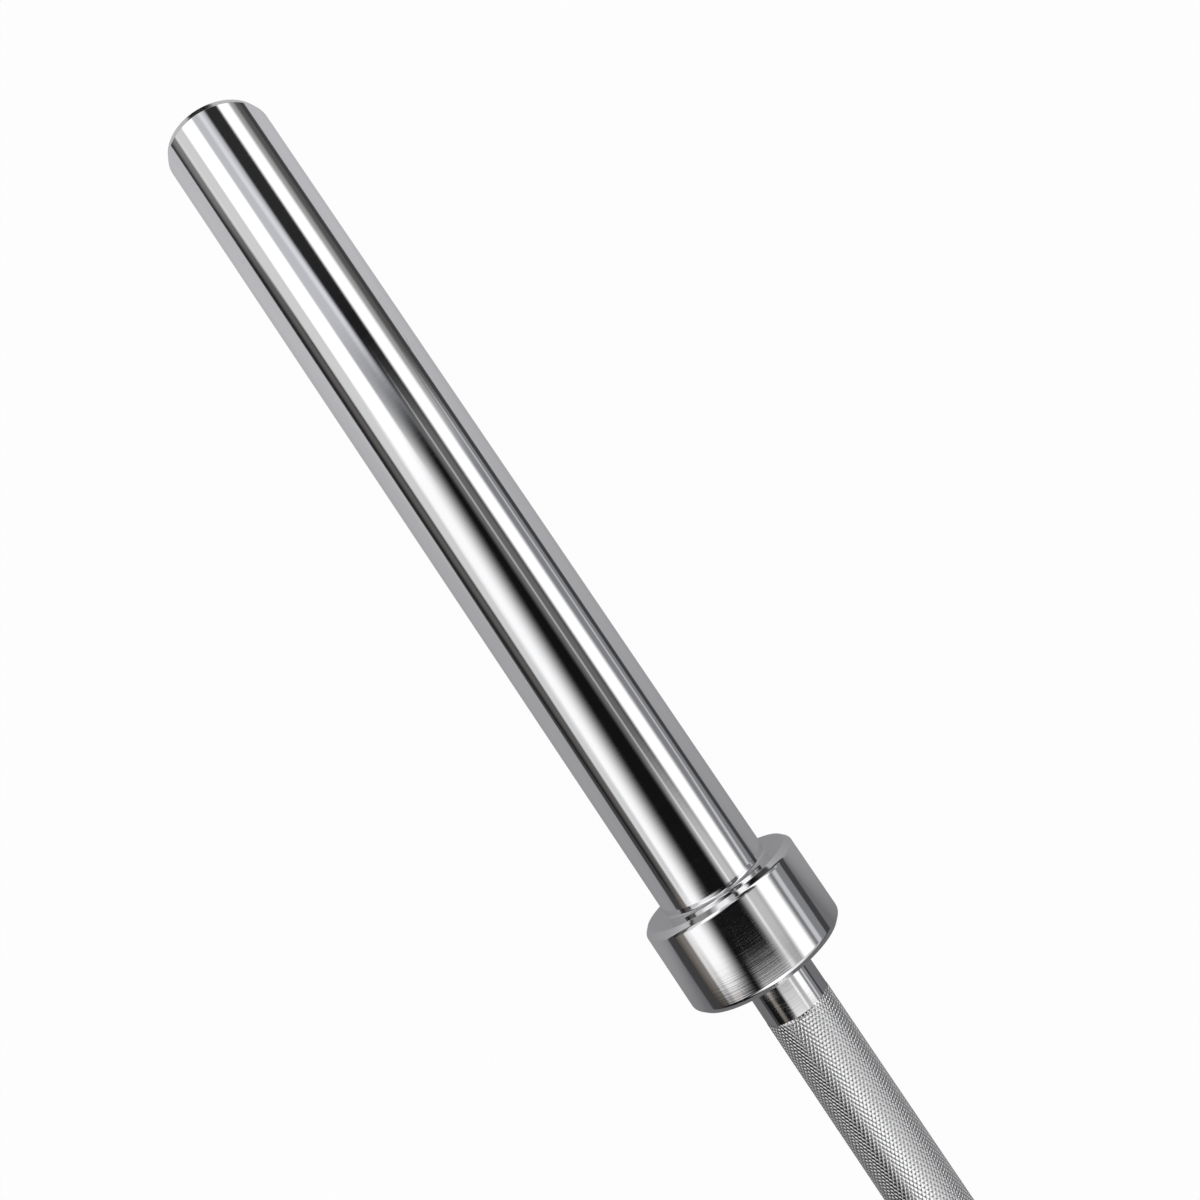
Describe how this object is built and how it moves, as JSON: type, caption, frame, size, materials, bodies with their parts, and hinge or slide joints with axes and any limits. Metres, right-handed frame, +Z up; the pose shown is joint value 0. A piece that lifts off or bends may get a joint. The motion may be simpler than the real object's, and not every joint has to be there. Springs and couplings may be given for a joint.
{
  "type": "olympic barbell",
  "caption": "Straight chromed weightlifting bar with a knurled grip, stop collars and free-turning sleeves for plates.",
  "frame": {"origin": "middle of the bar, on its axis", "axes": "+X along the bar towards the right sleeve's end, +Z up"},
  "size_m": [2.18, 0.073, 0.073],
  "materials": {
    "hard_chrome": "polished hard chrome",
    "bronze": "oiled sintered bronze",
    "seal_rubber": "matt black rubber",
    "cap_aluminium": "turned satin",
    "spring_steel": "phosphated spring steel",
    "washer_steel": "ground steel"
  },
  "bodies": {
    "shaft": {"shaft": "hard_chrome", "right_inner_thrust_washer": "washer_steel", "right_outer_thrust_washer": "washer_steel", "right_shaft_retaining_ring": "spring_steel", "left_inner_thrust_washer": "washer_steel", "left_outer_thrust_washer": "washer_steel", "left_shaft_retaining_ring": "spring_steel"},
    "right_sleeve": {"right_sleeve_tube": "hard_chrome", "right_stop_collar": "hard_chrome", "right_inner_bush": "bronze", "right_outer_bush": "bronze", "right_dust_seal": "seal_rubber", "right_end_cap": "cap_aluminium", "right_cap_retaining_ring": "spring_steel"},
    "left_sleeve": {"left_sleeve_tube": "hard_chrome", "left_stop_collar": "hard_chrome", "left_inner_bush": "bronze", "left_outer_bush": "bronze", "left_dust_seal": "seal_rubber", "left_end_cap": "cap_aluminium", "left_cap_retaining_ring": "spring_steel"}
  },
  "joints": [
    {"name": "right_sleeve_spin", "type": "hinge", "parent": "shaft", "child": "right_sleeve", "pos_m": [0.693, 0, 0], "axis": [1, 0, 0], "continuous": true},
    {"name": "left_sleeve_spin", "type": "hinge", "parent": "shaft", "child": "left_sleeve", "pos_m": [-0.693, 0, 0], "axis": [-1, 0, 0], "continuous": true}
  ]
}
